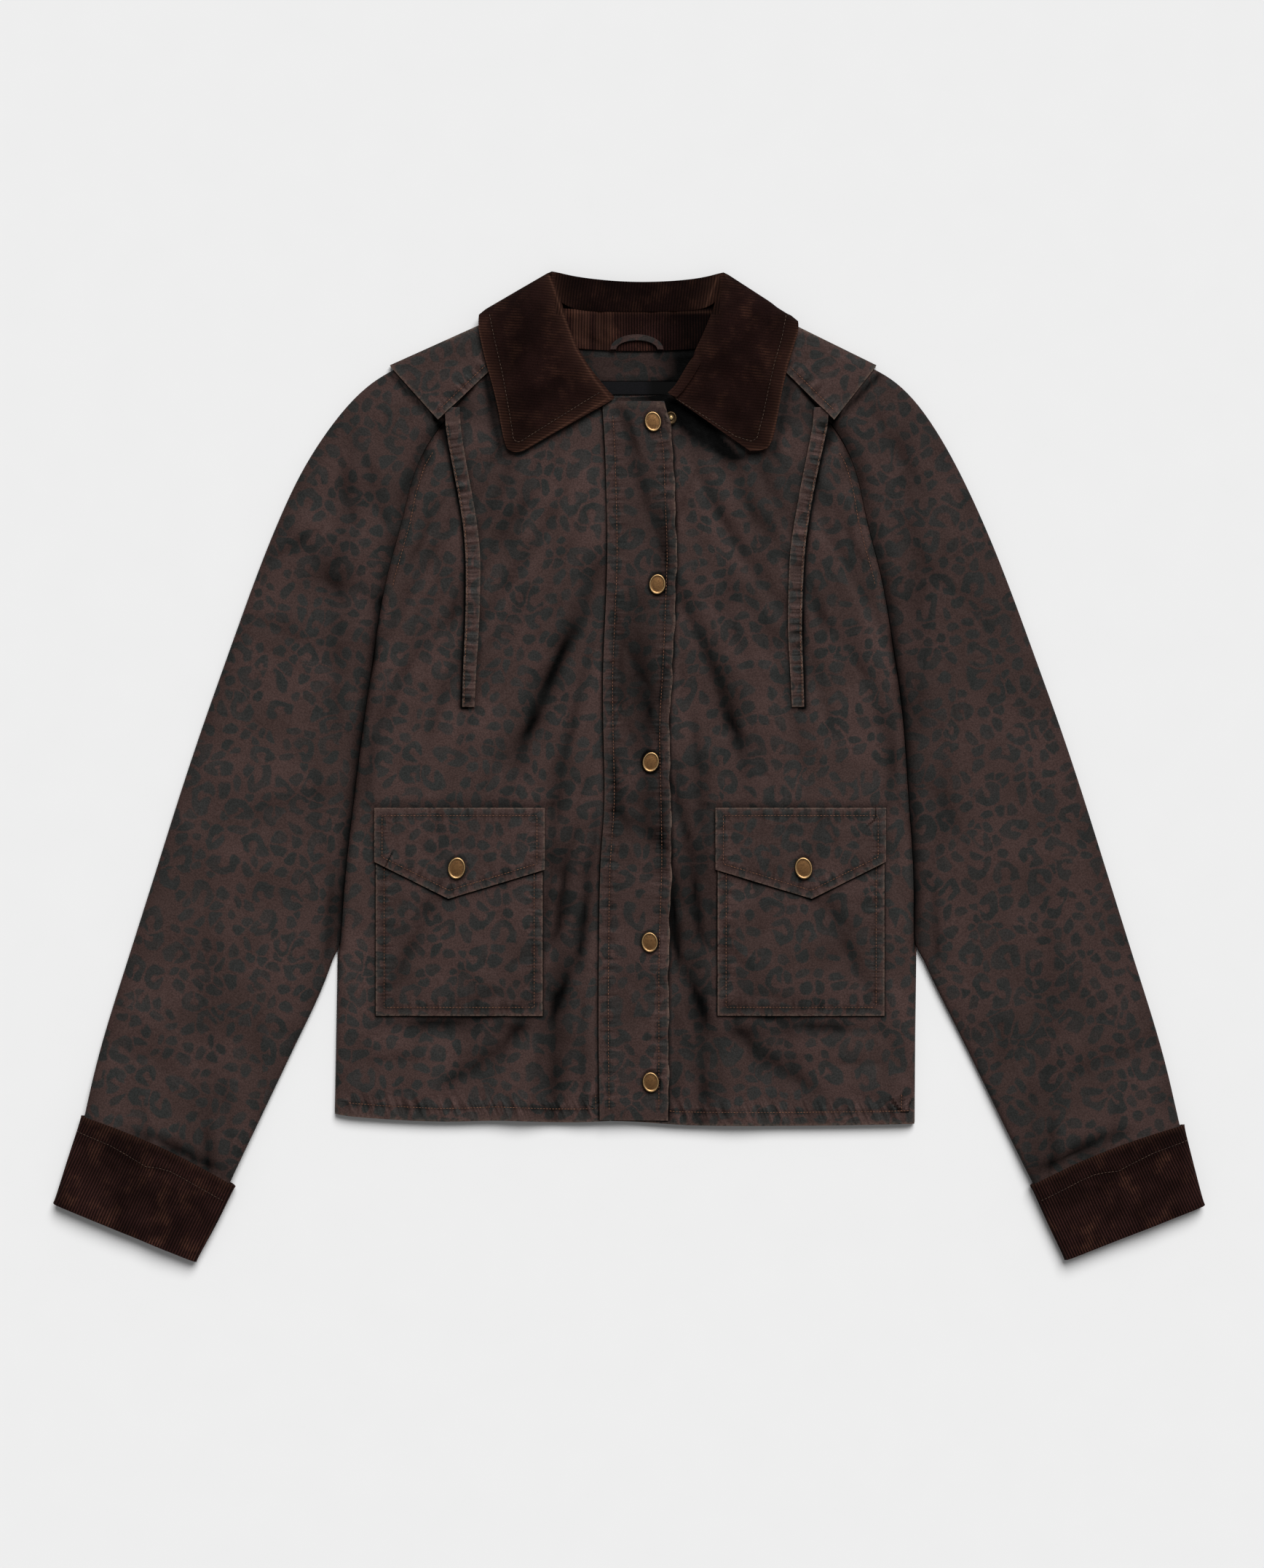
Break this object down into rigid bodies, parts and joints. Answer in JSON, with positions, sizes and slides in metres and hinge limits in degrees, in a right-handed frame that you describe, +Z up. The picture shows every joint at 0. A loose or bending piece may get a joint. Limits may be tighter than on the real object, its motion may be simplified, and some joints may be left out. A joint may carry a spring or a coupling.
{
  "type": "waxed jacket",
  "caption": "Short raglan-sleeved waxed jacket laid flat, with corduroy collar and cuffs, snap storm fly, patch pockets with pointed flaps, shoulder flaps and an animal print.",
  "frame": {"origin": "middle of the jacket's box in plan, on the surface that it lies on", "axes": "+X towards the wearer's left, +Y from the hem to the collar, +Z up off the surface, out of the jacket's front"},
  "size_m": [0.9496, 0.8164, 0.0211],
  "materials": {
    "waxed_cotton": "waxed cotton, dry sheen, tonal leopard print",
    "corduroy": "needlecord, matt pile",
    "lining": "plain woven lining",
    "brass": "antiqued, satin"
  },
  "bodies": {
    "root": {"back": "waxed_cotton", "front_right": "waxed_cotton", "front_left": "waxed_cotton", "storm_fly": "waxed_cotton", "collar": "corduroy", "collar_stand": "corduroy", "neck_facing": "waxed_cotton", "neck_lining": "lining", "hanger_loop": "waxed_cotton", "sleeve_right": "waxed_cotton", "sleeve_left": "waxed_cotton", "cuff_right": "corduroy", "cuff_left": "corduroy", "chest_strip_right": "waxed_cotton", "chest_strip_left": "waxed_cotton", "shoulder_flap_right": "waxed_cotton", "shoulder_flap_left": "waxed_cotton", "pocket_right": "waxed_cotton", "pocket_left": "waxed_cotton", "pocket_flap_right": "waxed_cotton", "pocket_flap_left": "waxed_cotton", "fly_snap_1": "brass", "fly_snap_2": "brass", "fly_snap_3": "brass", "fly_snap_4": "brass", "fly_snap_5": "brass", "neck_stud": "brass", "pocket_snap_right": "brass", "pocket_snap_left": "brass"}
  },
  "joints": []
}
